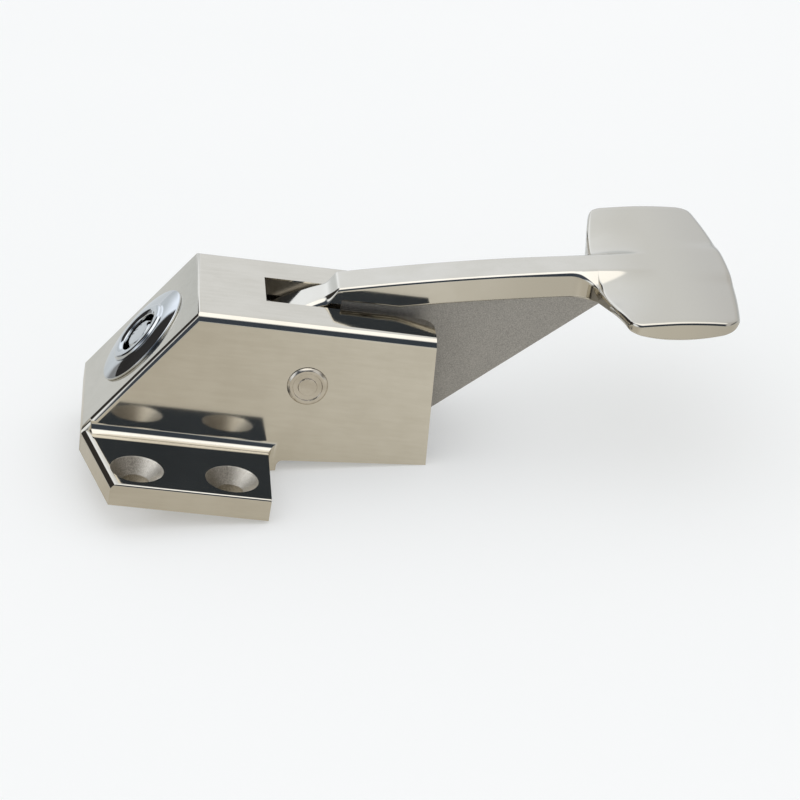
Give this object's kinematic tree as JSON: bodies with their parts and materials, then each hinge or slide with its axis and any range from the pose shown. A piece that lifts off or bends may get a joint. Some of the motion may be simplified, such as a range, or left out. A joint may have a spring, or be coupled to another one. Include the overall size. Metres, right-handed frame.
{
  "type": "oven door latch",
  "caption": "Polished metal door latch: a flanged housing with a sloped key-lock face, and a sprung lever with a T-shaped finger paddle.",
  "frame": {"origin": "halfway between the two screw holes, on the mounting face", "axes": "+X from the lock towards the paddle, +Y across the latch, +Z away from the door"},
  "size_m": [0.1349, 0.071, 0.0543],
  "materials": {
    "polished_casting": "polished cast stainless steel",
    "cast_lever": "polished arm and paddle, rough cast web",
    "turned_steel": "turned",
    "bronze": "sintered bronze",
    "spring_wire": "drawn wire",
    "lock_chrome": "bright chrome plate",
    "lock_brass": "machined",
    "cam_steel": "zinc-plated"
  },
  "bodies": {
    "case": {"housing": "polished_casting", "pivot_pin": "turned_steel", "bush_near": "bronze", "bush_far": "bronze", "spring_near": "spring_wire", "spring_far": "spring_wire", "lock_shell": "lock_chrome", "lock_nut": "lock_chrome", "rear_pin_block": "lock_brass", "block_dowel": "turned_steel", "driver_pin_1": "turned_steel", "driver_pin_2": "turned_steel", "driver_pin_3": "turned_steel", "driver_pin_4": "turned_steel", "driver_pin_5": "turned_steel", "driver_pin_6": "turned_steel", "driver_pin_7": "turned_steel", "pin_spring_1": "spring_wire", "pin_spring_2": "spring_wire", "pin_spring_3": "spring_wire", "pin_spring_4": "spring_wire", "pin_spring_5": "spring_wire", "pin_spring_6": "spring_wire", "pin_spring_7": "spring_wire"},
    "lever": {"lever": "cast_lever"},
    "plug": {"lock_spindle": "lock_chrome", "front_pin_block": "lock_brass", "key_pin_1": "lock_brass", "key_pin_2": "lock_brass", "key_pin_3": "lock_brass", "key_pin_4": "lock_brass", "key_pin_5": "lock_brass", "key_pin_6": "lock_brass", "key_pin_7": "lock_brass", "lock_cam": "cam_steel", "cam_washer": "cam_steel", "cam_nut": "cam_steel"}
  },
  "joints": [
    {"name": "lever_swing", "type": "hinge", "parent": "case", "child": "lever", "pos_m": [0.0244, 0.032, 0.0211], "axis": [0, -1, 0], "range_deg": [0, 35], "stiffness_Nm_per_rad": 0.6, "springref_deg": -28.65, "deforming": ["spring_near", "spring_far"]},
    {"name": "lock_turn", "type": "hinge", "parent": "case", "child": "plug", "pos_m": [-0.01082, 0.032, 0.0206], "axis": [0.8128, 0, -0.5825], "range_deg": [0, 90]}
  ]
}
